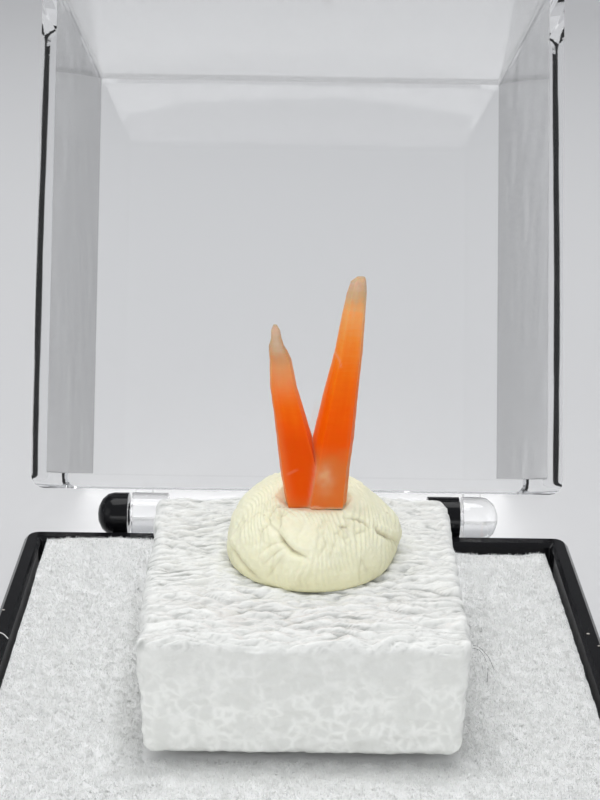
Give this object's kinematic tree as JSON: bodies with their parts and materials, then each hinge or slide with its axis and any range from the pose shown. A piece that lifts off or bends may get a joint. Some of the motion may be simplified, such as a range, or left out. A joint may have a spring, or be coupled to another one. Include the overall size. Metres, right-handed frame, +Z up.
{
  "type": "hematoid quartz crystal specimen in a hinged thumbnail display box",
  "caption": "Orange hematoid quartz twin crystal set in putty on a foam block, in a small square display box with a pile-lined black tray and a hinged clear lid.",
  "frame": {"origin": "centre of the tray's flat underside, on the surface that the box stands on", "axes": "+Z up, -Y to the front of the box, +X to the viewer's right along the hinge"},
  "size_m": [0.0318, 0.0684, 0.0398],
  "materials": {
    "black_plastic": "glossy injection-moulded black polystyrene",
    "clear_plastic": "glossy clear polystyrene, faintly warm at its edges",
    "white_pile": "short fuzzy white pile",
    "white_foam": "closed-cell white polyethylene foam with a wrinkled skin",
    "cream_putty": "matt cream mineral putty with finger marks and folds",
    "orange_quartz": "translucent orange quartz, paler and cloudier at the tips and the broken base"
  },
  "bodies": {
    "box_and_specimen": {"tray": "black_plastic", "liner_pad": "white_pile", "foam_block": "white_foam", "mineral_putty": "cream_putty", "quartz_crystals": "orange_quartz"},
    "box_lid": {"lid": "clear_plastic"}
  },
  "joints": [
    {"name": "lid_hinge", "type": "hinge", "parent": "box_and_specimen", "child": "box_lid", "pos_m": [0, 0.01738, 0.0084], "axis": [-1, 0, 0], "range_deg": [-114.94, 0]}
  ]
}
